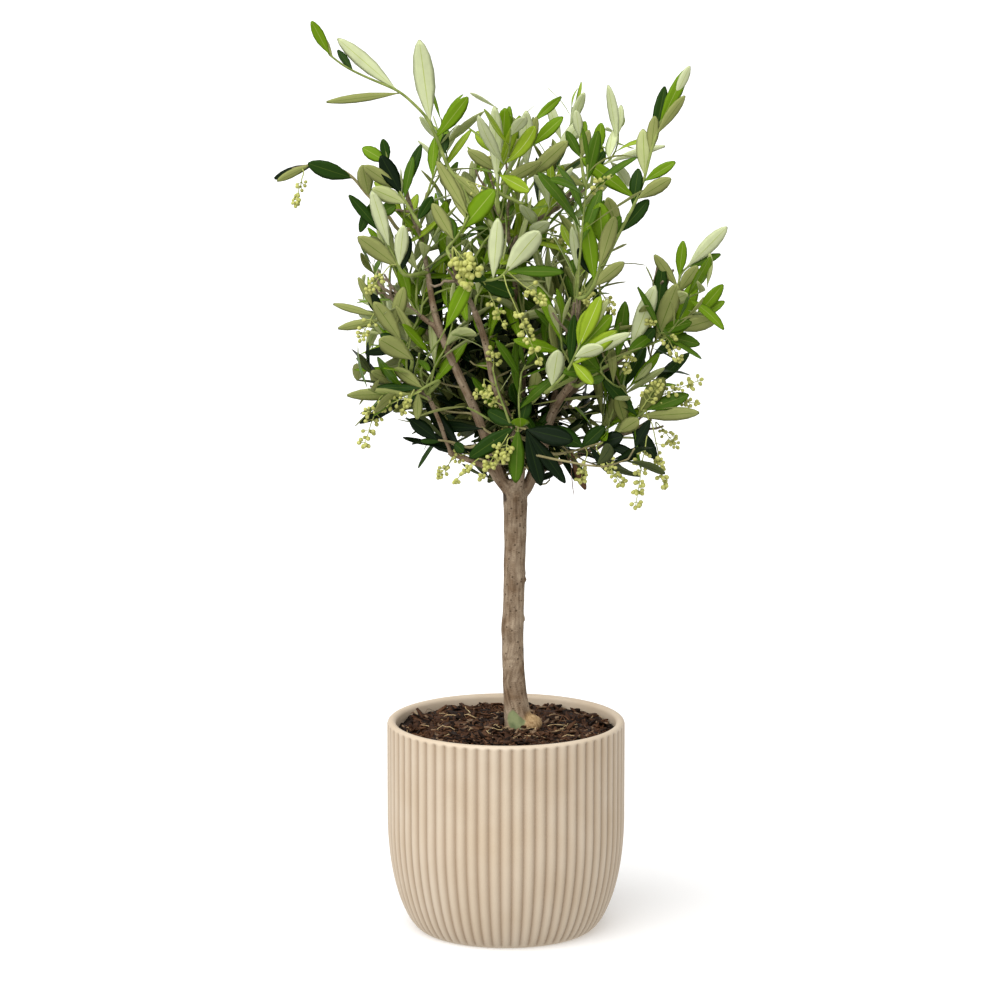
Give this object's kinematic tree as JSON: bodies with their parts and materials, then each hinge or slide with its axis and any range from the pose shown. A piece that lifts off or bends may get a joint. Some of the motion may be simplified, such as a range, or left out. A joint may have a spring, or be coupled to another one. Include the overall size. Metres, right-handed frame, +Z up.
{
  "type": "potted olive tree",
  "caption": "Small olive tree grown as a standard: one clear leaning stem, a fork of slender boughs and a loose, open crown, in a fluted round stoneware planter filled with bark potting mix.",
  "frame": {"origin": "centre of the planter's flat underside, at the level of the surface it stands on", "axes": "+Z up through the stem, +X to the right and +Y to the back as seen from the front"},
  "size_m": [0.3947, 0.2511, 0.8013],
  "materials": {
    "stoneware": "satin",
    "potting_mix": "matte",
    "bark": "matte",
    "leaf_dark": "satin",
    "leaf_mid": "satin",
    "leaf_pale": "matte",
    "flower_buds": "matte"
  },
  "bodies": {
    "root": {"planter": "stoneware", "soil": "potting_mix", "trunk": "bark", "bough_left": "bark", "bough_centre": "bark", "bough_right": "bark", "bough_leader": "bark", "bough_back_left": "bark", "bough_back_right": "bark", "bough_left_low": "bark", "bough_left_low_rise": "bark", "bough_left_side": "bark", "bough_right_low": "bark", "bough_right_arm": "bark", "bough_back": "bark", "bough_right_rise": "bark", "foliage_top_left": "leaf_pale", "foliage_top_centre": "leaf_pale", "foliage_top_right": "leaf_mid", "foliage_left": "leaf_mid", "foliage_left_low": "leaf_mid", "foliage_front_left": "leaf_mid", "foliage_front_right": "leaf_mid", "foliage_front_low": "leaf_dark", "foliage_right": "leaf_pale", "foliage_right_low": "leaf_dark", "foliage_back": "leaf_mid", "foliage_back_left": "leaf_dark", "foliage_back_right": "leaf_dark", "foliage_back_low": "leaf_dark", "shoot_top_left": "leaf_pale", "shoot_top_left_tip": "leaf_pale", "shoot_top_left_leaf": "leaf_pale", "shoot_top_right": "leaf_mid", "shoot_left": "leaf_mid", "shoot_right": "leaf_pale", "shoot_right_side": "leaf_pale", "blossom_right_low": "flower_buds"}
  },
  "joints": []
}
